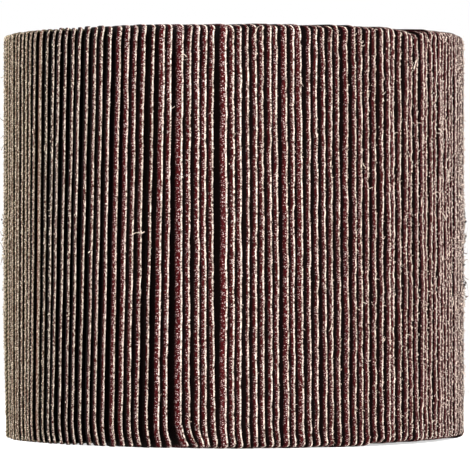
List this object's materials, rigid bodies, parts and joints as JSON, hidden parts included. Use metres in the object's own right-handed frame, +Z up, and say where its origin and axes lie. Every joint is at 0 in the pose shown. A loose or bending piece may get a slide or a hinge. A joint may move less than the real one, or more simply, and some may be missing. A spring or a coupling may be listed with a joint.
{
  "type": "flap wheel",
  "caption": "Wide flap wheel for surface finishing: swept flaps of coated abrasive cloth round a cast resin core with a keyed sleeve bore.",
  "frame": {"origin": "on the wheel's axis at its lower end, where the wheel stands", "axes": "+Z up along the bore; seen from +Z the flap tips are swept counter-clockwise from their roots"},
  "size_m": [0.115, 0.115, 0.1],
  "materials": {
    "abrasive_cloth": "matte",
    "cast_resin": "satin",
    "moulded_sleeve": "matte"
  },
  "bodies": {
    "root": {"flap_pack_01": "abrasive_cloth", "flap_pack_02": "abrasive_cloth", "flap_pack_03": "abrasive_cloth", "flap_pack_04": "abrasive_cloth", "flap_pack_05": "abrasive_cloth", "flap_pack_06": "abrasive_cloth", "flap_pack_07": "abrasive_cloth", "flap_pack_08": "abrasive_cloth", "flap_pack_09": "abrasive_cloth", "flap_pack_10": "abrasive_cloth", "flap_pack_11": "abrasive_cloth", "flap_pack_12": "abrasive_cloth", "flap_pack_13": "abrasive_cloth", "flap_pack_14": "abrasive_cloth", "flap_pack_15": "abrasive_cloth", "flap_pack_16": "abrasive_cloth", "flap_pack_17": "abrasive_cloth", "flap_pack_18": "abrasive_cloth", "flap_pack_19": "abrasive_cloth", "flap_pack_20": "abrasive_cloth", "flap_pack_21": "abrasive_cloth", "flap_pack_22": "abrasive_cloth", "flap_pack_23": "abrasive_cloth", "flap_pack_24": "abrasive_cloth", "flap_pack_25": "abrasive_cloth", "flap_pack_26": "abrasive_cloth", "flap_pack_27": "abrasive_cloth", "flap_pack_28": "abrasive_cloth", "flap_pack_29": "abrasive_cloth", "flap_pack_30": "abrasive_cloth", "flap_pack_31": "abrasive_cloth", "flap_pack_32": "abrasive_cloth", "flap_pack_33": "abrasive_cloth", "flap_pack_34": "abrasive_cloth", "flap_pack_35": "abrasive_cloth", "flap_pack_36": "abrasive_cloth", "flap_pack_37": "abrasive_cloth", "flap_pack_38": "abrasive_cloth", "flap_pack_39": "abrasive_cloth", "flap_pack_40": "abrasive_cloth", "flap_pack_41": "abrasive_cloth", "flap_pack_42": "abrasive_cloth", "flap_pack_43": "abrasive_cloth", "resin_core": "cast_resin", "hub_sleeve": "moulded_sleeve"}
  },
  "joints": []
}
